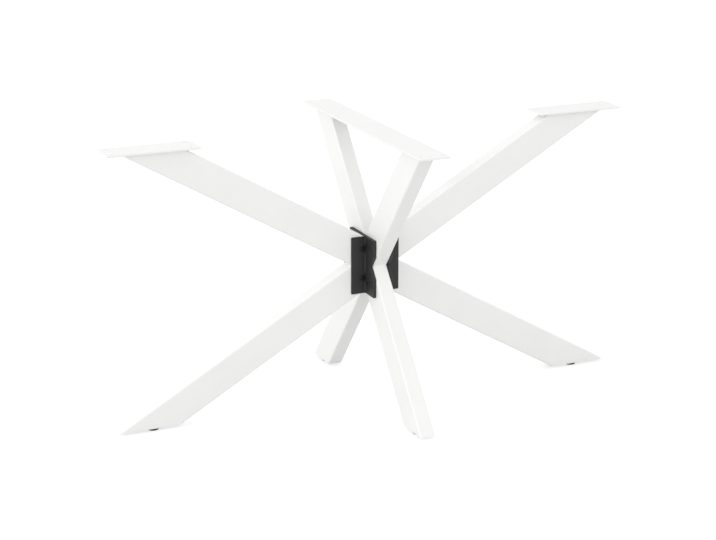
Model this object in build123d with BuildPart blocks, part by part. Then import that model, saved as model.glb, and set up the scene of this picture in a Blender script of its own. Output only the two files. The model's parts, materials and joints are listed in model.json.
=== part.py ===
# Spider table base: four V-shaped pairs of rectangular steel tube around a bolted hub,
# three top plates that carry the table top, and four screw-in levelling feet.
#
# Millimetres. +Z is up, the floor is Z = 0 with the feet screwed home, X runs along the
# long arms and Y along the short ones. The origin is on the floor under the hub's centre.

from build123d import *
import os

os.makedirs("parts", exist_ok=True)

# Heights above the floor
TOP_HEIGHT = 720.0
FOOT_HEIGHT = 7.0
HUB_HEIGHT = 368.0

# Rectangular steel tube, its wide sides upright
TUBE_WIDE = 80.0
TUBE_NARROW = 40.0
TUBE_WALL = 2.0
TUBE_CORNER = 4.0

# Side arms: distance from the centre of the V's inside corner, and of the outer edge of
# the tubes where they meet the top plate and where they end at the foot
SIDE_CORNER = 64.0
SIDE_TOP_REACH = 665.0
SIDE_FOOT_REACH = 692.7

# Front and rear arms, measured the same way
CENTRE_CORNER = 51.0
CENTRE_TOP_REACH = 329.0
CENTRE_FOOT_REACH = 345.0

# Top plates: flat steel that runs past the cut tubes at both ends
PLATE_WIDTH = 80.0
PLATE_THICKNESS = 5.0
PLATE_OVERHANG = 38.0
PLATE_CORNER = 3.0
PLATE_EDGE = 0.6
SCREW_HOLE = 7.0
SCREW_END_GAP = 20.0
SCREW_SIDE_GAP = 12.0

# Hub: a thick upright plate on each side of the centre frame, and two thinner cheeks that
# stand out from it and hold the side arm between them. Their middle lies a little below the
# corners of the Vs.
HUB_PLATE_WIDTH = 150.0
HUB_PLATE_HEIGHT = 151.0
HUB_PLATE_THICKNESS = 8.0
HUB_PLATE_DROP = 1.5
HUB_PLATE_CORNER = 2.0
CHEEK_WIDTH = 38.0
CHEEK_THICKNESS = 4.0
CHEEK_CORNER = 2.0
HUB_EDGE = 0.5

# Button head bolts and the rivet nuts that they screw into. The rise of a bolt is counted
# from a level that lies a little above the corners of the Vs.
BOLT_SIZE = 8.0
BOLT_HEAD = 14.0
BOLT_HEAD_HEIGHT = 4.4
BOLT_HEAD_RIM = 1.4
BOLT_HEAD_FLAT = 8.0
BOLT_SOCKET = 5.0
BOLT_SOCKET_DEPTH = 2.6
BOLT_END_GAP = 2.0
BOLT_HOLE_PLAY = 0.5
CHEEK_BOLT_INSET = 9.0
CHEEK_BOLT_RISE = 39.0
PLATE_BOLT_INSET = 20.0
PLATE_BOLT_RISE = 51.0
BOLT_LIFT = 3.0
RIVET_NUT_SIZE = 11.0
RIVET_NUT_HEAD = 12.6
RIVET_NUT_SPACING = 10.0

# Closing plates and weld nuts in the lower ends, and the levelling feet below them
CAP_THICKNESS = 4.0
FOOT_NUT_FLATS = 17.0
FOOT_NUT_HEIGHT = 8.0
STUD_SIZE = 10.0
STUD_LENGTH = 34.0
STUD_HEAD = 14.0
STUD_HEAD_HEIGHT = 3.0
STUD_HEAD_LIFT = 1.2
STUD_TIP_CHAMFER = 1.0
PAD_SIZE = 30.0
PAD_EDGE = 1.2
SIDE_FOOT_INSET = 12.5
CENTRE_FOOT_INSET = 0.0

# Clearances
WELD_GAP = 0.15
THREAD_PLAY = 0.08
PRESS_PLAY = 0.05
STUD_HOLE_PLAY = 0.5
FOOT_GAP = 0.3

# Values that follow from the ones above
TUBE_TOP = TOP_HEIGHT - PLATE_THICKNESS
HALF_TUBE = TUBE_NARROW / 2
RIVET_NUT_LENGTH = (TUBE_NARROW - RIVET_NUT_SPACING) / 2
HUB_PLATE_FACE = HALF_TUBE + HUB_PLATE_THICKNESS
HUB_PLATE_MIDDLE = HUB_HEIGHT - HUB_PLATE_DROP
BOLT_MIDDLE = HUB_HEIGHT + BOLT_LIFT
PAD_HEIGHT = FOOT_HEIGHT - FOOT_GAP
UP = Vector(0, 0, 1)
LEVELS = (1, -1)


class Arm:
    """One V-shaped pair of tubes, seen in the upright plane that it lies in."""

    def __init__(self, outward, start, corner, top_reach, foot_reach, foot_inset, bolt_reach, bolt_rise):
        self.outward = Vector(outward)
        self.across = self.outward.cross(UP)
        self.start = start
        self.inside = self.point(corner, HUB_HEIGHT)
        self.upper = (self.point(top_reach, TUBE_TOP) - self.inside).normalized()
        self.lower = (self.point(foot_reach, FOOT_HEIGHT) - self.inside).normalized()
        self.foot_reach = foot_reach
        self.foot_inset = foot_inset
        self.bolt_reach = bolt_reach
        self.bolt_rise = bolt_rise

    def point(self, reach, height):
        return self.outward * reach + UP * height

    def cut_length(self, along):
        """Length of the level cut across the wide side of a tube."""
        return TUBE_WIDE / abs(along.Z)

    def section(self, along, level):
        """The plane across a tube, well behind the hub. level is 1 for the upper tube."""
        away = along.cross(self.across) * -level
        spare = TUBE_WIDE * 2
        origin = self.inside + away * (TUBE_WIDE / 2) - along * spare
        return Plane(origin=origin, x_dir=self.across, z_dir=along)

    def mitre(self):
        """The plane on which the two tubes of the pair are welded, its normal upwards."""
        middle = (self.upper + self.lower).normalized()
        return Plane(origin=self.inside, x_dir=middle, z_dir=self.across.cross(middle))

    def end(self):
        """The upright plane that cuts both tubes off at the hub, its normal outwards."""
        return Plane(origin=self.point(self.start, 0), x_dir=self.across, z_dir=self.outward)

    def bolt_plane(self, level, facing, lift=0.0):
        """The plane at a bolt on the wide wall that faces that way, or lifted off the wall."""
        middle = self.point(self.bolt_reach, BOLT_MIDDLE + level * self.bolt_rise)
        return Plane(origin=middle + facing * (HALF_TUBE + lift), x_dir=self.outward, z_dir=facing)

    def foot_centre(self):
        """Where the foot's axis meets the floor, near the middle of the cut end."""
        return self.point(self.foot_reach - self.cut_length(self.lower) / 2 - self.foot_inset, 0)


SIDE = (
    HUB_PLATE_FACE,
    SIDE_CORNER,
    SIDE_TOP_REACH,
    SIDE_FOOT_REACH,
    SIDE_FOOT_INSET,
    HUB_PLATE_FACE + CHEEK_BOLT_INSET,
    CHEEK_BOLT_RISE,
)
CENTRE = (
    0,
    CENTRE_CORNER,
    CENTRE_TOP_REACH,
    CENTRE_FOOT_REACH,
    CENTRE_FOOT_INSET,
    HALF_TUBE + CHEEK_THICKNESS + PLATE_BOLT_INSET,
    PLATE_BOLT_RISE,
)
ARMS = {
    "left": Arm((-1, 0, 0), *SIDE),
    "right": Arm((1, 0, 0), *SIDE),
    "front": Arm((0, -1, 0), *CENTRE),
    "rear": Arm((0, 1, 0), *CENTRE),
}
CORNERS = [(end, side) for end in ("front", "rear") for side in ("left", "right")]
LONGEST_TUBE = TOP_HEIGHT + SIDE_TOP_REACH + SIDE_FOOT_REACH


def write(piece, name):
    piece.part.label = name
    export_step(piece.part, f"parts/{name}.step")


def tube(arm, along, level):
    """A hollow tube, mitred and cut upright at the hub and cut level at its other end."""
    with BuildPart() as piece:
        with BuildSketch(arm.section(along, level)):
            RectangleRounded(TUBE_NARROW, TUBE_WIDE, TUBE_CORNER)
            offset(amount=-TUBE_WALL, mode=Mode.SUBTRACT)
        extrude(amount=LONGEST_TUBE)
        split(bisect_by=arm.end(), keep=Keep.TOP)
        if level > 0:
            split(bisect_by=arm.mitre(), keep=Keep.TOP)
            split(bisect_by=Plane.XY.offset(TUBE_TOP), keep=Keep.BOTTOM)
        else:
            split(bisect_by=arm.mitre(), keep=Keep.BOTTOM)
            split(bisect_by=Plane.XY.offset(FOOT_HEIGHT), keep=Keep.TOP)
        with Locations(arm.bolt_plane(level, arm.across), arm.bolt_plane(level, -arm.across)):
            CounterSinkHole(
                radius=RIVET_NUT_SIZE / 2 + PRESS_PLAY,
                counter_sink_radius=RIVET_NUT_HEAD / 2 + PRESS_PLAY,
                depth=TUBE_WALL * 2,
                counter_sink_angle=90,
            )
    return piece


for name, arm in ARMS.items():
    write(tube(arm, arm.upper, 1), f"{name}_upper_tube")
    write(tube(arm, arm.lower, -1), f"{name}_lower_tube")


def top_plate(centre, length_x, length_y):
    """A flat plate with four screw holes, its underside on the cut ends of the tubes."""
    with BuildPart() as piece:
        with BuildSketch(Plane.XY.offset(TUBE_TOP)):
            with Locations(centre):
                RectangleRounded(length_x, length_y, PLATE_CORNER)
        extrude(amount=PLATE_THICKNESS)
        chamfer(piece.faces().filter_by(Axis.Z).edges(), PLATE_EDGE)
        long_x = length_x > length_y
        gap_x = SCREW_END_GAP if long_x else SCREW_SIDE_GAP
        gap_y = SCREW_SIDE_GAP if long_x else SCREW_END_GAP
        with BuildSketch(Plane.XY.offset(TUBE_TOP)):
            with Locations(centre):
                with GridLocations(length_x - 2 * gap_x, length_y - 2 * gap_y, 2, 2):
                    Circle(SCREW_HOLE / 2)
        extrude(amount=PLATE_THICKNESS, mode=Mode.SUBTRACT)
    return piece


side_cut = ARMS["right"].cut_length(ARMS["right"].upper)
side_plate_length = side_cut + 2 * PLATE_OVERHANG
side_plate_centre = SIDE_TOP_REACH - side_cut / 2
centre_plate_length = 2 * (CENTRE_TOP_REACH + PLATE_OVERHANG)

write(top_plate((-side_plate_centre, 0), side_plate_length, PLATE_WIDTH), "left_top_plate")
write(top_plate((side_plate_centre, 0), side_plate_length, PLATE_WIDTH), "right_top_plate")
write(top_plate((0, 0), PLATE_WIDTH, centre_plate_length), "centre_top_plate")

# Hub plate on the right of the centre frame. At the front and the rear a V is cut out of it
# along the inner edges of the tubes.
with BuildPart() as hub_plate:
    with BuildSketch(Plane.YZ.offset(HALF_TUBE)):
        with Locations((0, HUB_PLATE_MIDDLE)):
            RectangleRounded(HUB_PLATE_WIDTH, HUB_PLATE_HEIGHT, HUB_PLATE_CORNER)
        for end in ("front", "rear"):
            corner = ARMS[end].inside
            above = corner + ARMS[end].upper * HUB_PLATE_WIDTH
            below = corner + ARMS[end].lower * HUB_PLATE_WIDTH
            with BuildLine():
                Polyline((corner.Y, corner.Z), (above.Y, above.Z), (below.Y, below.Z), close=True)
            make_face(mode=Mode.SUBTRACT)
    extrude(amount=HUB_PLATE_THICKNESS)
    chamfer(faces().sort_by(Axis.X)[-1].edges(), HUB_EDGE)
    for end in ("front", "rear"):
        for level in LEVELS:
            with Locations(ARMS[end].bolt_plane(level, ARMS["right"].outward, HUB_PLATE_THICKNESS)):
                Hole(radius=BOLT_SIZE / 2 + BOLT_HOLE_PLAY, depth=HUB_PLATE_THICKNESS)

with BuildPart() as left_hub_plate:
    add(mirror(hub_plate.part, about=Plane.YZ))

write(hub_plate, "right_hub_plate")
write(left_hub_plate, "left_hub_plate")


def cheek(end, side):
    """A flat plate on one wide wall of a side arm, from the hub plate outwards."""
    middle = side.point(HUB_PLATE_FACE + CHEEK_WIDTH / 2, HUB_PLATE_MIDDLE) + end.outward * HALF_TUBE
    with BuildPart() as piece:
        with BuildSketch(Plane(origin=middle, x_dir=side.outward, z_dir=end.outward)):
            Rectangle(CHEEK_WIDTH, HUB_PLATE_HEIGHT)
        extrude(amount=CHEEK_THICKNESS)
        fillet(edges().filter_by(Axis.Y).sort_by_distance(UP * HUB_PLATE_MIDDLE)[-2:], CHEEK_CORNER)
        chamfer(faces().sort_by_distance(middle + end.outward * CHEEK_THICKNESS)[0].edges(), HUB_EDGE)
        for level in LEVELS:
            with Locations(side.bolt_plane(level, end.outward, CHEEK_THICKNESS)):
                Hole(radius=BOLT_SIZE / 2 + BOLT_HOLE_PLAY, depth=CHEEK_THICKNESS)
    return piece


def bolt(grip):
    """Button head bolt on its head's seat, its shank pointing down through that thickness."""
    tip = -(grip + RIVET_NUT_LENGTH - BOLT_END_GAP)
    with BuildPart() as piece:
        with BuildSketch(Plane.XZ):
            with BuildLine():
                Polyline(
                    (0, BOLT_HEAD_HEIGHT),
                    (BOLT_HEAD_FLAT / 2, BOLT_HEAD_HEIGHT),
                    (BOLT_HEAD / 2, BOLT_HEAD_RIM),
                    (BOLT_HEAD / 2, 0),
                    (BOLT_SIZE / 2, 0),
                    (BOLT_SIZE / 2, tip),
                    (0, tip),
                    close=True,
                )
            make_face()
        revolve(axis=Axis.Z)
        with BuildSketch(Plane.XY.offset(BOLT_HEAD_HEIGHT)):
            RegularPolygon(BOLT_SOCKET / 2, 6, major_radius=False)
        extrude(amount=-BOLT_SOCKET_DEPTH, mode=Mode.SUBTRACT)
    return piece.part


# Countersunk rivet nut, its open end level with the outside of the tube wall
nut_bore = BOLT_SIZE / 2 + THREAD_PLAY
nut_sink = (RIVET_NUT_HEAD - RIVET_NUT_SIZE) / 2

with BuildPart() as rivet_nut:
    with BuildSketch(Plane.XZ):
        with BuildLine():
            Polyline(
                (nut_bore, 0),
                (RIVET_NUT_HEAD / 2, 0),
                (RIVET_NUT_SIZE / 2, -nut_sink),
                (RIVET_NUT_SIZE / 2, -RIVET_NUT_LENGTH),
                (nut_bore, -RIVET_NUT_LENGTH),
                close=True,
            )
        make_face()
    revolve(axis=Axis.Z)

cheek_bolt = bolt(CHEEK_THICKNESS)
plate_bolt = bolt(HUB_PLATE_THICKNESS)

for end, side in CORNERS:
    write(cheek(ARMS[end], ARMS[side]), f"{end}_{side}_cheek")
    with BuildPart() as piece:
        for level in LEVELS:
            with Locations(ARMS[side].bolt_plane(level, ARMS[end].outward, CHEEK_THICKNESS)):
                add(cheek_bolt)
            with Locations(ARMS[end].bolt_plane(level, ARMS[side].outward, HUB_PLATE_THICKNESS)):
                add(plate_bolt)
    write(piece, f"{end}_{side}_bolts")

for name, arm in ARMS.items():
    with BuildPart() as piece:
        for level in LEVELS:
            with Locations(arm.bolt_plane(level, arm.across), arm.bolt_plane(level, -arm.across)):
                add(rivet_nut.part)
    write(piece, f"{name}_rivet_nuts")


def end_cap(arm):
    """The closing plate inside the cut end of a lower tube, slanted like the tube's walls."""
    with BuildPart() as piece:
        with BuildSketch(arm.section(arm.lower, -1)):
            RectangleRounded(TUBE_NARROW, TUBE_WIDE, TUBE_CORNER)
            offset(amount=-TUBE_WALL - WELD_GAP, mode=Mode.REPLACE)
        extrude(amount=LONGEST_TUBE)
        split(bisect_by=Plane.XY.offset(FOOT_HEIGHT), keep=Keep.TOP)
        split(bisect_by=Plane.XY.offset(FOOT_HEIGHT + CAP_THICKNESS), keep=Keep.BOTTOM)
        with BuildSketch(Plane.XY.offset(FOOT_HEIGHT)):
            with Locations(arm.foot_centre()):
                Circle(STUD_SIZE / 2 + STUD_HOLE_PLAY)
        extrude(amount=CAP_THICKNESS, mode=Mode.SUBTRACT)
    return piece


def foot_nut(arm):
    """The weld nut on top of the closing plate."""
    with BuildPart() as piece:
        with BuildSketch(Plane.XY.offset(FOOT_HEIGHT + CAP_THICKNESS)):
            with Locations(arm.foot_centre()):
                RegularPolygon(FOOT_NUT_FLATS / 2, 6, major_radius=False)
                Circle(STUD_SIZE / 2 + THREAD_PLAY, mode=Mode.SUBTRACT)
        extrude(amount=FOOT_NUT_HEIGHT)
    return piece


def foot_stud(arm):
    """Threaded stud with a round head inside the pad."""
    with BuildPart() as piece:
        with BuildSketch(Plane.XY.offset(STUD_HEAD_LIFT)):
            with Locations(arm.foot_centre()):
                Circle(STUD_HEAD / 2)
        extrude(amount=STUD_HEAD_HEIGHT)
        with BuildSketch(Plane.XY.offset(STUD_HEAD_LIFT + STUD_HEAD_HEIGHT)):
            with Locations(arm.foot_centre()):
                Circle(STUD_SIZE / 2)
        extrude(amount=STUD_LENGTH)
        chamfer(faces().sort_by(Axis.Z)[-1].edges(), STUD_TIP_CHAMFER)
    return piece


def foot_pad(arm):
    """Round plastic pad, moulded round the stud, with the stud's head in a pocket open below."""
    with BuildPart() as piece:
        with BuildSketch():
            with Locations(arm.foot_centre()):
                Circle(PAD_SIZE / 2)
        extrude(amount=PAD_HEIGHT)
        chamfer(edges().filter_by(GeomType.CIRCLE), PAD_EDGE)
        with BuildSketch():
            with Locations(arm.foot_centre()):
                Circle(STUD_HEAD / 2 + PRESS_PLAY)
        extrude(amount=STUD_HEAD_LIFT + STUD_HEAD_HEIGHT, mode=Mode.SUBTRACT)
        with BuildSketch():
            with Locations(arm.foot_centre()):
                Circle(STUD_SIZE / 2 + PRESS_PLAY)
        extrude(amount=PAD_HEIGHT, mode=Mode.SUBTRACT)
    return piece


for name, arm in ARMS.items():
    write(end_cap(arm), f"{name}_end_cap")
    write(foot_nut(arm), f"{name}_foot_nut")
    write(foot_stud(arm), f"{name}_foot_stud")
    write(foot_pad(arm), f"{name}_foot_pad")
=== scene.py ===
# Looks of the spider table base: white powder-coated tube arms and plates, a charcoal hub
# with black button head bolts, zinc-plated threaded studs and black plastic feet.
# Metres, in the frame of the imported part: +Z up, the floor at Z = 0, X along the long arms.

import json
import math

import bmesh
import bpy
from mathutils import Matrix, Vector


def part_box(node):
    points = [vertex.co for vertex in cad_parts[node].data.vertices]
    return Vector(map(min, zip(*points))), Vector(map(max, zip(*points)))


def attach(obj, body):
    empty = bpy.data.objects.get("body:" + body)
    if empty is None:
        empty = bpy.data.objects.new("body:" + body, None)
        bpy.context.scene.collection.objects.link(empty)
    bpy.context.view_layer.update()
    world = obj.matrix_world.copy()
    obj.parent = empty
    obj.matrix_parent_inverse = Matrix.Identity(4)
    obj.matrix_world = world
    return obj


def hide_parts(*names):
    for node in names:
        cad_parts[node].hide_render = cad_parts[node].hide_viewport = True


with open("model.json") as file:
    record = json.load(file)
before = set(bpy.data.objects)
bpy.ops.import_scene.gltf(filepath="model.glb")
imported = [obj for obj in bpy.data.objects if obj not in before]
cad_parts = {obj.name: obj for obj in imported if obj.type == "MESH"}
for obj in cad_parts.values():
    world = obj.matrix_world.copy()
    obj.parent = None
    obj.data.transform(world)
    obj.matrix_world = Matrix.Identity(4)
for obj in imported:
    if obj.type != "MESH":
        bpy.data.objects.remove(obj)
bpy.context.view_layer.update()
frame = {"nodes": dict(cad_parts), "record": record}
nodes = frame["nodes"]

MM = 0.001
MERGE_DISTANCE = 0.001 * MM

# Camera: where the photograph was taken from, in degrees and metres
PHOTO_WIDTH = 716
FOCAL_PIXELS = 1839.2
SENSOR_WIDTH = 36.0
CAMERA_AZIMUTH = -23.73
CAMERA_ELEVATION = 17.03
CAMERA_DISTANCE = 4.7306
CAMERA_TARGET = Vector((-0.0378, 0.0, 0.347))

# Button head bolts, as the part has them, with the dome that the solids leave out. The bolts
# through the cheeks and those through the hub plates are set out from the corners of the hub.
BOLT_SIZE = 8.0 * MM
BOLT_HEAD = 14.0 * MM
BOLT_HEAD_HEIGHT = 4.4 * MM
BOLT_RIM = 0.9 * MM
BOLT_RIM_EDGE = 0.25 * MM
BOLT_CROWN = 7.6 * MM
BOLT_DOME_BULGE = 0.55 * MM
BOLT_SOCKET = 5.0 * MM
BOLT_SOCKET_MOUTH = 6.4 * MM
BOLT_SOCKET_DEPTH = 2.6 * MM
BOLT_DRILL_POINT = 0.7 * MM
BOLT_TIP = 0.8 * MM
CHEEK_BOLT_INSET = 9.0 * MM
CHEEK_BOLT_RISE = 39.0 * MM
PLATE_BOLT_INSET = 20.0 * MM
PLATE_BOLT_RISE = 51.0 * MM
BOLT_STEPS = 36
DOME_STEPS = 6

# Levelling feet. A turn of the rolled thread is laid out in shares of its pitch: flat root,
# flank, flat crest, flank and flat root. The quarter rounds of a pad's edges bulge from their
# chords by a share of their radius.
THREAD_PITCH = 1.5 * MM
THREAD_DEPTH = 0.85 * MM
ROOT_END = 0.12
CREST_START = 0.44
CREST_END = 0.56
ROOT_START = 0.88
THREAD_STEPS = 24
STUD_SIZE = 10.0 * MM
STUD_HEAD = 14.0 * MM
STUD_HEAD_HEIGHT = 3.0 * MM
STUD_EDGE = 0.4 * MM
STUD_TIP_INSET = 0.2 * MM
STUD_STEPS = 48
PAD_DRAFT = 0.2 * MM
PAD_ROUND = 0.9 * MM
PAD_ROUND_BULGE = 0.29 * PAD_ROUND
PAD_ROUND_STEPS = 4
PAD_PLAY = 0.05 * MM
PAD_GROOVE_SIZE = 20.0 * MM
PAD_GROOVE = 0.5 * MM

# Tubes and the corners of the Vs, as the part has them
TUBE_NARROW = 40.0 * MM
TUBE_CORNER = 4.0 * MM
HUB_HEIGHT = 368.0 * MM
V_CORNER = {"left": 64.0 * MM, "right": 64.0 * MM, "front": 51.0 * MM, "rear": 51.0 * MM}

# Welds: leg lengths, ripples across the bead, how deep it is sunk into the corner, how far its
# crown stands out as a share of the legs, and how its ends are rounded off to a smaller tip
WELD_LEG = 3.5 * MM
HUB_WELD_LEG = 2.5 * MM
WELD_RIPPLE = 1.6 * MM
WELD_RIPPLE_HEIGHT = 0.12 * MM
WELD_SINK = 0.4 * MM
WELD_CROWN = 0.62
WELD_END = 4.0 * MM
WELD_TIP = 0.25

ARMS = ("left", "right", "front", "rear")
CORNERS = [(end, side) for end in ("front", "rear") for side in ("left", "right")]
OUTWARD = {
    "left": Vector((-1, 0, 0)),
    "right": Vector((1, 0, 0)),
    "front": Vector((0, -1, 0)),
    "rear": Vector((0, 1, 0)),
}
UP = Vector((0, 0, 1))

# Studio, in metres
FLOOR_SIZE = 30
FLOOR_GLOW = 0.66
WORLD_LIGHT = 0.9
LIGHT_AIM = (0, 0, 0.4)


def make_camera():
    """The photograph's camera, as fitted to the edges of the base."""
    azimuth = math.radians(CAMERA_AZIMUTH)
    elevation = math.radians(CAMERA_ELEVATION)
    back = Vector((
        math.sin(azimuth) * math.cos(elevation),
        -math.cos(azimuth) * math.cos(elevation),
        math.sin(elevation),
    ))
    data = bpy.data.cameras.new("camera")
    data.sensor_width = SENSOR_WIDTH
    data.lens = FOCAL_PIXELS * SENSOR_WIDTH / PHOTO_WIDTH
    camera = bpy.data.objects.new("camera", data)
    bpy.context.scene.collection.objects.link(camera)
    camera.location = CAMERA_TARGET + back * CAMERA_DISTANCE
    camera.rotation_mode = "QUATERNION"
    camera.rotation_quaternion = (-back).to_track_quat("-Z", "Y")
    bpy.context.scene.camera = camera


make_camera()
bpy.context.scene.view_settings.view_transform = "Standard"


def linear(code):
    """An sRGB hex colour as the linear colour that a shader takes."""
    parts = [int(code[i:i + 2], 16) / 255 for i in (1, 3, 5)]
    return tuple(c / 12.92 if c <= 0.04045 else ((c + 0.055) / 1.055) ** 2.4 for c in parts) + (1,)


def add_node(tree, kind, settings=None, **links):
    """A node with its properties and sockets set. A link is given as (node, output name)."""
    node = tree.nodes.new(kind)
    for key, value in (settings or {}).items():
        if key in node.inputs:
            node.inputs[key].default_value = value
        else:
            setattr(node, key, value)
    for socket, (source, output) in links.items():
        tree.links.new(source.outputs[output], node.inputs[socket.replace("_", " ")])
    return node


def start_material(name):
    """A material with an empty tree, and the object coordinates that its patterns lie in."""
    material = bpy.data.materials.new(name)
    material.use_nodes = True
    tree = material.node_tree
    tree.nodes.clear()
    place = add_node(tree, "ShaderNodeTexCoord")
    return material, tree, (place, "Object")


def end_material(tree, surface):
    add_node(tree, "ShaderNodeOutputMaterial", Surface=(surface, "BSDF"))


def shade(tree, factor, dark, light):
    """A colour that runs from one hex value to another with a factor."""
    ramp = add_node(tree, "ShaderNodeValToRGB", Fac=factor)
    ramp.color_ramp.elements[0].color = linear(dark)
    ramp.color_ramp.elements[1].color = linear(light)
    return ramp, "Color"


def white_powder_coat():
    """Polyester powder coat baked on steel: satin white, with a faint orange peel about 2 mm
    across and slight clouding where the coat is thicker."""
    material, tree, place = start_material("white powder coat")
    cloud = add_node(tree, "ShaderNodeTexNoise", {"Scale": 1 / (90 * MM), "Detail": 2.0}, Vector=place)
    peel = add_node(tree, "ShaderNodeTexNoise", {"Scale": 1 / (2.2 * MM), "Detail": 2.0}, Vector=place)
    bump = add_node(tree, "ShaderNodeBump", {"Strength": 0.3, "Distance": 0.04 * MM}, Height=(peel, "Fac"))
    surface = add_node(
        tree, "ShaderNodeBsdfPrincipled", {"Roughness": 0.38, "IOR": 1.5},
        Base_Color=shade(tree, (cloud, "Fac"), "#EFEFEE", "#F4F4F3"),
        Normal=(bump, "Normal"),
    )
    end_material(tree, surface)
    return material


def charcoal_powder_coat():
    """Fine-textured powder coat: charcoal, with a sandy grain about 0.7 mm across that breaks
    up its dull gloss."""
    material, tree, place = start_material("charcoal powder coat")
    grain = add_node(tree, "ShaderNodeTexNoise", {"Scale": 1 / (0.7 * MM), "Detail": 3.0}, Vector=place)
    bump = add_node(tree, "ShaderNodeBump", {"Strength": 0.6, "Distance": 0.08 * MM}, Height=(grain, "Fac"))
    surface = add_node(
        tree, "ShaderNodeBsdfPrincipled", {"Roughness": 0.55, "IOR": 1.5, "Specular IOR Level": 0.38},
        Base_Color=shade(tree, (grain, "Fac"), "#222223", "#313133"),
        Normal=(bump, "Normal"),
    )
    end_material(tree, surface)
    return material


def black_oxide_steel():
    """Black oxide on a forged bolt: oily black, a little glossier where it has been handled."""
    material, tree, place = start_material("black oxide steel")
    wear = add_node(tree, "ShaderNodeTexNoise", {"Scale": 1 / (3 * MM), "Detail": 4.0}, Vector=place)
    gloss = add_node(tree, "ShaderNodeMapRange", {"To Min": 0.3, "To Max": 0.5}, Value=(wear, "Fac"))
    bump = add_node(tree, "ShaderNodeBump", {"Strength": 0.2, "Distance": 0.02 * MM}, Height=(wear, "Fac"))
    surface = add_node(
        tree, "ShaderNodeBsdfPrincipled", {"Metallic": 0.6},
        Base_Color=shade(tree, (wear, "Fac"), "#141416", "#242427"),
        Roughness=(gloss, "Result"),
        Normal=(bump, "Normal"),
    )
    end_material(tree, surface)
    return material


def zinc_plated_steel():
    """Bright zinc on rolled threads: cool silver with a soft mottled gloss."""
    material, tree, place = start_material("zinc plated steel")
    spangle = add_node(tree, "ShaderNodeTexNoise", {"Scale": 1 / (4 * MM), "Detail": 3.0}, Vector=place)
    gloss = add_node(tree, "ShaderNodeMapRange", {"To Min": 0.22, "To Max": 0.4}, Value=(spangle, "Fac"))
    surface = add_node(
        tree, "ShaderNodeBsdfPrincipled", {"Metallic": 1.0},
        Base_Color=shade(tree, (spangle, "Fac"), "#B4B9BE", "#CDD1D4"),
        Roughness=(gloss, "Result"),
    )
    end_material(tree, surface)
    return material


def black_plastic():
    """Injection-moulded polyamide: black with a fine spark-eroded grain and no shine."""
    material, tree, place = start_material("black moulded plastic")
    grain = add_node(tree, "ShaderNodeTexNoise", {"Scale": 1 / (0.5 * MM), "Detail": 2.0}, Vector=place)
    bump = add_node(tree, "ShaderNodeBump", {"Strength": 0.4, "Distance": 0.03 * MM}, Height=(grain, "Fac"))
    surface = add_node(
        tree, "ShaderNodeBsdfPrincipled", {"Roughness": 0.6, "IOR": 1.53},
        Base_Color=shade(tree, (grain, "Fac"), "#0E0E0F", "#171718"),
        Normal=(bump, "Normal"),
    )
    end_material(tree, surface)
    return material


MATERIALS = {
    "white_powder_coat": white_powder_coat(),
    "charcoal_powder_coat": charcoal_powder_coat(),
    "black_steel": black_oxide_steel(),
    "zinc_plated_steel": zinc_plated_steel(),
    "black_plastic": black_plastic(),
}
for part in frame["record"]["subparts"]:
    piece = nodes[part["node"]]
    piece.data.materials.clear()
    piece.data.materials.append(MATERIALS[part["material_slot"]])


def finish_piece(bm, name, slot, body, replaced=(), crease=35):
    """Turn a bmesh into a piece with its material, riding on its body. Edges that turn by more
    than the crease angle, in degrees, stay sharp."""
    bmesh.ops.remove_doubles(bm, verts=bm.verts, dist=MERGE_DISTANCE)
    bmesh.ops.recalc_face_normals(bm, faces=bm.faces)
    mesh = bpy.data.meshes.new(name)
    bm.to_mesh(mesh)
    bm.free()
    mesh.shade_smooth()
    mesh.set_sharp_from_angle(angle=math.radians(crease))
    mesh.materials.append(MATERIALS[slot])
    piece = bpy.data.objects.new(name, mesh)
    bpy.context.scene.collection.objects.link(piece)
    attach(piece, body)
    if replaced:
        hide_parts(*replaced)
    return piece


def draw(bm, outline):
    """Verts and edges along an outline of (radius, height) points."""
    verts = [bm.verts.new((radius, 0, height)) for radius, height in outline]
    return verts + [bm.edges.new(pair) for pair in zip(verts, verts[1:])]


def lathe(bm, outline, steps):
    """Spin an outline of (radius, height) points about the Z axis."""
    bmesh.ops.spin(
        bm, geom=draw(bm, outline), cent=(0, 0, 0), axis=UP, angle=math.tau, steps=steps, use_merge=True,
    )
    bmesh.ops.remove_doubles(bm, verts=bm.verts, dist=MERGE_DISTANCE)


def arc(start, end, bulge, steps):
    """Points from one (radius, height) to another along an arc that bulges outwards."""
    start, end = Vector(start), Vector(end)
    chord = end - start
    out = Vector((-chord.y, chord.x)).normalized() * bulge
    half = chord.length / 2
    radius = (half ** 2 + bulge ** 2) / (2 * abs(bulge))
    spread = math.asin(half / radius)
    points = []
    for i in range(steps + 1):
        turn = -spread + 2 * spread * i / steps
        along = (math.sin(turn) / math.sin(spread) + 1) / 2
        lift = (math.cos(turn) - math.cos(spread)) / (1 - math.cos(spread))
        points.append(tuple(start + chord * along + out * lift))
    return points


def extrude_rim(bm, edges):
    """Extrude a ring of edges in place: its new verts and edges."""
    made = bmesh.ops.extrude_edge_only(bm, edges=edges)["geom"]
    verts = [item for item in made if isinstance(item, bmesh.types.BMVert)]
    ring = [item for item in made if isinstance(item, bmesh.types.BMEdge) and item.is_boundary]
    return verts, ring


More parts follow.
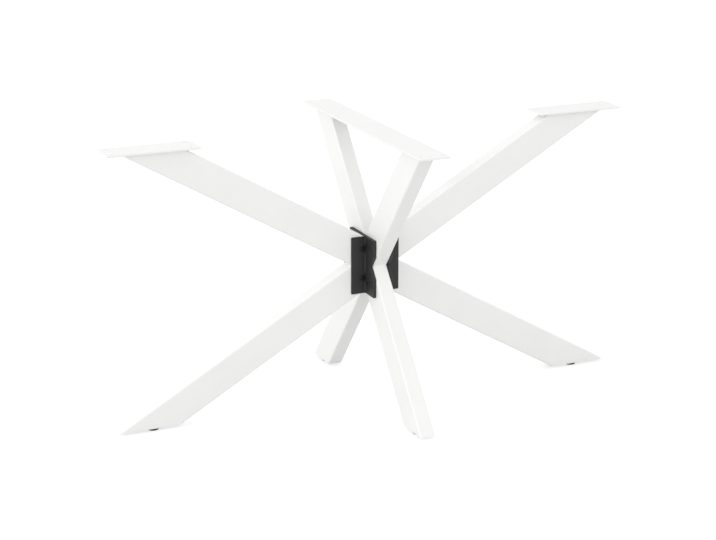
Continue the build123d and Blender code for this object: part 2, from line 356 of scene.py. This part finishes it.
def sink_socket(bm):
    """Draw the round mouth of a bolt's socket in to a hexagon and sink it to a drill point."""
    verts, rim = extrude_rim(bm, [edge for edge in bm.edges if edge.is_boundary])
    for vert in verts:
        turn = math.atan2(vert.co.y, vert.co.x) % math.radians(60) - math.radians(30)
        size = BOLT_SOCKET / 2 / math.cos(turn)
        vert.co.xy = Vector((vert.co.x, vert.co.y)).normalized() * size
        vert.co.z = BOLT_HEAD_HEIGHT - (BOLT_SOCKET_MOUTH / 2 - size) / 2
    socket_floor = BOLT_HEAD_HEIGHT - BOLT_SOCKET_DEPTH
    verts, rim = extrude_rim(bm, rim)
    for vert in verts:
        vert.co.z = socket_floor
    verts = extrude_rim(bm, rim)[0]
    bmesh.ops.pointmerge(bm, verts=verts, merge_co=Vector((0, 0, socket_floor - BOLT_DRILL_POINT)))


def bolt_mesh(reach):
    """A button head bolt on its seat at the origin, its shank down to that reach."""
    bm = bmesh.new()
    dome = arc((BOLT_CROWN / 2, BOLT_HEAD_HEIGHT), (BOLT_HEAD / 2, BOLT_RIM), BOLT_DOME_BULGE, DOME_STEPS)
    lathe(bm, [
        (BOLT_SOCKET_MOUTH / 2, BOLT_HEAD_HEIGHT),
        *dome,
        (BOLT_HEAD / 2, BOLT_RIM_EDGE),
        (BOLT_HEAD / 2 - BOLT_RIM_EDGE, 0),
        (BOLT_SIZE / 2, 0),
        (BOLT_SIZE / 2, -reach + BOLT_TIP),
        (BOLT_SIZE / 2 - BOLT_TIP, -reach),
        (0, -reach),
    ], BOLT_STEPS)
    sink_socket(bm)
    mesh = bpy.data.meshes.new("bolt")
    bm.to_mesh(mesh)
    bm.free()
    return mesh


def seat_matrix(seat, facing):
    """Place a bolt on its seat, its head facing outwards."""
    return Matrix.Translation(seat) @ facing.to_track_quat("Z", "Y").to_matrix().to_4x4()


def add_copy(bm, mesh, matrix):
    """Add a placed copy of a mesh to a bmesh."""
    first = len(bm.verts)
    bm.from_mesh(mesh)
    bm.verts.ensure_lookup_table()
    bmesh.ops.transform(bm, matrix=matrix, verts=bm.verts[first:])


def node_face(node, facing):
    """Where the outermost face of a node lies along an axis of the frame."""
    low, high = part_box(node)
    axis = 0 if abs(facing.x) > abs(facing.y) else 1
    return high[axis] if facing[axis] > 0 else low[axis]


def hub_bolts():
    """Four bolts at each corner of the hub, in place of the plainer solids."""
    for end, side in CORNERS:
        node = f"{end}_{side}_bolts"
        low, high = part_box(node)
        middle = (low.z + high.z) / 2
        cheek_face = node_face(f"{end}_{side}_cheek", OUTWARD[end])
        plate_face = node_face(f"{side}_hub_plate", OUTWARD[side])
        cheek_x = plate_face + OUTWARD[side].x * CHEEK_BOLT_INSET
        plate_y = cheek_face + OUTWARD[end].y * PLATE_BOLT_INSET
        cheek_bolt = bolt_mesh(abs(cheek_face) - min(abs(low.y), abs(high.y)))
        plate_bolt = bolt_mesh(abs(plate_face) - min(abs(low.x), abs(high.x)))
        bm = bmesh.new()
        for level in (1, -1):
            seat = Vector((cheek_x, cheek_face, middle + level * CHEEK_BOLT_RISE))
            add_copy(bm, cheek_bolt, seat_matrix(seat, OUTWARD[end]))
            seat = Vector((plate_face, plate_y, middle + level * PLATE_BOLT_RISE))
            add_copy(bm, plate_bolt, seat_matrix(seat, OUTWARD[side]))
        finish_piece(bm, f"{end}_{side}_button_head_bolts", "black_steel", "frame", [node])


def thread(bm, bottom, top):
    """A rolled thread of flat crests and roots, its upper tip chamfered. It is spun past both
    heights and then cut flat at them."""
    crest = STUD_SIZE / 2
    root = crest - THREAD_DEPTH
    profile = [
        (root, 0.0),
        (root, ROOT_END),
        (crest, CREST_START),
        (crest, CREST_END),
        (root, ROOT_START),
        (root, 1.0),
    ]
    start = bottom - 1.5 * THREAD_PITCH
    turns = math.ceil((top - start) / THREAD_PITCH) + 1
    bmesh.ops.spin(
        bm, geom=draw(bm, [(radius, start + part * THREAD_PITCH) for radius, part in profile]),
        cent=(0, 0, 0), axis=UP, dvec=UP * (THREAD_PITCH / THREAD_STEPS),
        angle=math.tau * turns, steps=THREAD_STEPS * turns,
    )
    bmesh.ops.remove_doubles(bm, verts=bm.verts, dist=2 * MERGE_DISTANCE)
    for height, way in ((bottom, -1), (top, 1)):
        cut = bmesh.ops.bisect_plane(
            bm, geom=bm.verts[:] + bm.edges[:] + bm.faces[:], plane_co=UP * height,
            plane_no=UP * way, clear_outer=True,
        )["geom_cut"]
        rim = [item for item in cut if isinstance(item, bmesh.types.BMEdge)]
        bmesh.ops.contextual_create(bm, geom=rim)
    for vert in bm.verts:
        limit = root - STUD_TIP_INSET + (top - vert.co.z)
        size = vert.co.xy.length
        if size > limit:
            vert.co.xy = vert.co.xy * (limit / size)


def stud_head_mesh(pad_top):
    """The round head that the pad is moulded on, and its neck up to the top of the pad."""
    bm = bmesh.new()
    lathe(bm, [
        (0, 0),
        (STUD_HEAD / 2 - STUD_EDGE, 0),
        (STUD_HEAD / 2, STUD_EDGE),
        (STUD_HEAD / 2, STUD_HEAD_HEIGHT - STUD_EDGE),
        (STUD_HEAD / 2 - STUD_EDGE, STUD_HEAD_HEIGHT),
        (STUD_SIZE / 2, STUD_HEAD_HEIGHT),
        (STUD_SIZE / 2, pad_top),
        (0, pad_top),
    ], STUD_STEPS)
    mesh = bpy.data.meshes.new("stud head")
    bm.to_mesh(mesh)
    bm.free()
    return mesh


def threaded_studs():
    """The foot studs, in place of the solids, which have no thread."""
    for arm in ARMS:
        node = f"{arm}_foot_stud"
        low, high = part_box(node)
        centre = (low + high) / 2
        pad_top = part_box(f"{arm}_foot_pad")[1].z - low.z
        tip = high.z - low.z
        bm = bmesh.new()
        thread(bm, pad_top - THREAD_PITCH / 2, tip)
        bm.from_mesh(stud_head_mesh(pad_top))
        bmesh.ops.translate(bm, verts=bm.verts, vec=(centre.x, centre.y, low.z))
        finish_piece(bm, f"{arm}_threaded_stud", "zinc_plated_steel", f"{arm}_foot", [node], crease=50)


def moulded_pads():
    """Round feet with drafted sides, rounded edges and a groove round the stud."""
    for arm in ARMS:
        node = f"{arm}_foot_pad"
        low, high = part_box(node)
        centre = (low + high) / 2
        radius = (high.x - low.x) / 2
        height = high.z - low.z
        bore = STUD_SIZE / 2 + PAD_PLAY
        pocket = STUD_HEAD / 2 + PAD_PLAY
        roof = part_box(f"{arm}_foot_stud")[0].z + STUD_HEAD_HEIGHT - low.z
        upper = radius - PAD_DRAFT
        upper_round = ((upper, height - PAD_ROUND), (upper - PAD_ROUND, height))
        outline = [
            (bore, roof),
            (pocket, roof),
            (pocket, 0),
            *arc((radius - PAD_ROUND, 0), (radius, PAD_ROUND), -PAD_ROUND_BULGE, PAD_ROUND_STEPS),
            *arc(*upper_round, -PAD_ROUND_BULGE, PAD_ROUND_STEPS),
            (PAD_GROOVE_SIZE / 2 + PAD_GROOVE, height),
            (PAD_GROOVE_SIZE / 2, height - PAD_GROOVE),
            (PAD_GROOVE_SIZE / 2 - PAD_GROOVE, height),
            (bore, height),
            (bore, roof),
        ]
        bm = bmesh.new()
        lathe(bm, outline, STUD_STEPS)
        bmesh.ops.translate(bm, verts=bm.verts, vec=(centre.x, centre.y, low.z))
        finish_piece(bm, f"{arm}_moulded_pad", "black_plastic", f"{arm}_foot", [node], crease=50)


def bead_size(step, steps, length, leg):
    """Size of a weld bead at a step along it: rippled, and rounded off at both ends."""
    to_end = min(step, steps - step) / steps * length
    ripple = WELD_RIPPLE_HEIGHT / leg * (step % 2)
    if to_end >= WELD_END:
        return 1 + ripple
    return max(WELD_TIP, math.sqrt(1 - (1 - to_end / WELD_END) ** 2)) * (1 + ripple)


def weld(bm, start, end, first, second, leg):
    """A fillet weld along a corner, its legs lying along two surfaces."""
    along = end - start
    steps = max(2, round(along.length / (WELD_RIPPLE / 2)))
    sunk = -(first + second).normalized() * WELD_SINK
    crown = (first + second) * leg * WELD_CROWN
    size = bead_size(0, steps, along.length, leg)
    section = [bm.verts.new(start + place * size) for place in (sunk, first * leg, crown, second * leg)]
    rim = bm.faces.new(section).edges[:]
    for step in range(1, steps + 1):
        verts, rim = extrude_rim(bm, rim)
        bmesh.ops.translate(bm, verts=verts, vec=along / steps)
        next_size = bead_size(step, steps, along.length, leg)
        ratio = next_size / size
        size = next_size
        middle = start + along * (step / steps)
        bmesh.ops.scale(bm, verts=verts, vec=(ratio, ratio, ratio), space=Matrix.Translation(-middle))
    bmesh.ops.contextual_create(bm, geom=rim)


def outermost(low, high, arm):
    """How far out along its arm a node reaches."""
    axis = 0 if OUTWARD[arm].x else 1
    return max(abs(low[axis]), abs(high[axis]))


def arm_welds():
    """Fillet welds in the inside corner of each V, and where its outer end meets the top plate."""
    half = TUBE_NARROW / 2 - TUBE_CORNER / 2
    for arm in ARMS:
        outward = OUTWARD[arm]
        across = outward.cross(UP)
        inside = outward * V_CORNER[arm] + UP * HUB_HEIGHT
        low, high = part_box(f"{arm}_upper_tube")
        top = outward * outermost(low, high, arm) + UP * high.z
        low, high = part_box(f"{arm}_lower_tube")
        foot = outward * outermost(low, high, arm) + UP * low.z
        upper = (top - inside).normalized()
        lower = (foot - inside).normalized()
        bm = bmesh.new()
        weld(bm, inside - across * half, inside + across * half, upper, lower, WELD_LEG)
        weld(bm, top - across * half, top + across * half, outward, -upper, WELD_LEG)
        finish_piece(bm, f"{arm}_arm_welds", "white_powder_coat", "frame", crease=60)


def hub_welds():
    """Short welds in the corner of each cheek and hub plate, clear of the bolt heads."""
    for end, side in CORNERS:
        low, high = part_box(f"{end}_{side}_cheek")
        bolts_low, bolts_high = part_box(f"{end}_{side}_bolts")
        middle = (bolts_low.z + bolts_high.z) / 2
        past_bolts = CHEEK_BOLT_RISE + BOLT_HEAD / 2 + WELD_LEG
        inside_bolts = CHEEK_BOLT_RISE - BOLT_HEAD / 2 - WELD_LEG
        plate_face = node_face(f"{side}_hub_plate", OUTWARD[side])
        cheek_face = node_face(f"{end}_{side}_cheek", OUTWARD[end])
        corner = Vector((plate_face, cheek_face, 0))
        bm = bmesh.new()
        for bottom, top in (
            (low.z + WELD_LEG, middle - past_bolts),
            (middle - inside_bolts, middle + inside_bolts),
            (middle + past_bolts, high.z - WELD_LEG),
        ):
            weld(bm, corner + UP * bottom, corner + UP * top, OUTWARD[end], OUTWARD[side], HUB_WELD_LEG)
        finish_piece(bm, f"{end}_{side}_hub_welds", "charcoal_powder_coat", "frame", crease=60)


hub_bolts()
threaded_studs()
moulded_pads()
arm_welds()
hub_welds()

bpy.ops.mesh.primitive_plane_add(size=FLOOR_SIZE)
floor = bpy.context.object
floor.name = "floor"


def background_ray(tree):
    """1 for a ray that sees the background: straight, in a gloss or through something clear."""
    ray = add_node(tree, "ShaderNodeLightPath")
    straight_or_gloss = add_node(tree, "ShaderNodeMath", {"operation": "MAXIMUM"})
    tree.links.new(ray.outputs["Is Camera Ray"], straight_or_gloss.inputs[0])
    tree.links.new(ray.outputs["Is Glossy Ray"], straight_or_gloss.inputs[1])
    seen = add_node(tree, "ShaderNodeMath", {"operation": "MAXIMUM"})
    tree.links.new(straight_or_gloss.outputs["Value"], seen.inputs[0])
    tree.links.new(ray.outputs["Is Transmission Ray"], seen.inputs[1])
    return seen, "Value"


def floor_material():
    """Seamless white paper. The paper that is seen is grey with a glow that brings it to white,
    so that the object's shadow on it stays faint."""
    material, tree = start_material("floor paper")[:2]
    matt = {"Roughness": 0.95, "Specular IOR Level": 0.0}
    paper = add_node(tree, "ShaderNodeBsdfPrincipled", {"Base Color": linear("#DADADA"), **matt})
    shaded = add_node(tree, "ShaderNodeBsdfPrincipled", {"Base Color": linear("#B0B0B0"), **matt})
    glow = add_node(tree, "ShaderNodeEmission", {"Strength": FLOOR_GLOW})
    both = add_node(tree, "ShaderNodeAddShader")
    tree.links.new(shaded.outputs["BSDF"], both.inputs[0])
    tree.links.new(glow.outputs["Emission"], both.inputs[1])
    choice = add_node(tree, "ShaderNodeMixShader", Fac=background_ray(tree))
    tree.links.new(paper.outputs["BSDF"], choice.inputs[1])
    tree.links.new(both.outputs["Shader"], choice.inputs[2])
    add_node(tree, "ShaderNodeOutputMaterial", Surface=(choice, "Shader"))
    return material


floor.data.materials.append(floor_material())


def make_world():
    """A white studio. It lights the object a little less than the white that is seen."""
    world = bpy.data.worlds.new("studio")
    bpy.context.scene.world = world
    world.use_nodes = True
    tree = world.node_tree
    tree.nodes.clear()
    strength = add_node(
        tree, "ShaderNodeMapRange", {"To Min": WORLD_LIGHT, "To Max": 1.0}, Value=background_ray(tree),
    )
    sky = add_node(
        tree, "ShaderNodeBackground", {"Color": linear("#FFFFFF")}, Strength=(strength, "Result"),
    )
    add_node(tree, "ShaderNodeOutputWorld", Surface=(sky, "Background"))


make_world()


def softbox(name, place, size, watts):
    """A square area light that faces the base."""
    data = bpy.data.lights.new(name, "AREA")
    data.shape = "SQUARE"
    data.size = size
    data.energy = watts
    lamp = bpy.data.objects.new(name, data)
    bpy.context.scene.collection.objects.link(lamp)
    lamp.location = place
    lamp.rotation_mode = "QUATERNION"
    lamp.rotation_quaternion = (Vector(LIGHT_AIM) - Vector(place)).to_track_quat("-Z", "Y")


softbox("key softbox", place=(-8.5, 0.5, 4.2), size=5.0, watts=238)
softbox("fill softbox", place=(0.5, -8.0, 3.4), size=4.0, watts=104)
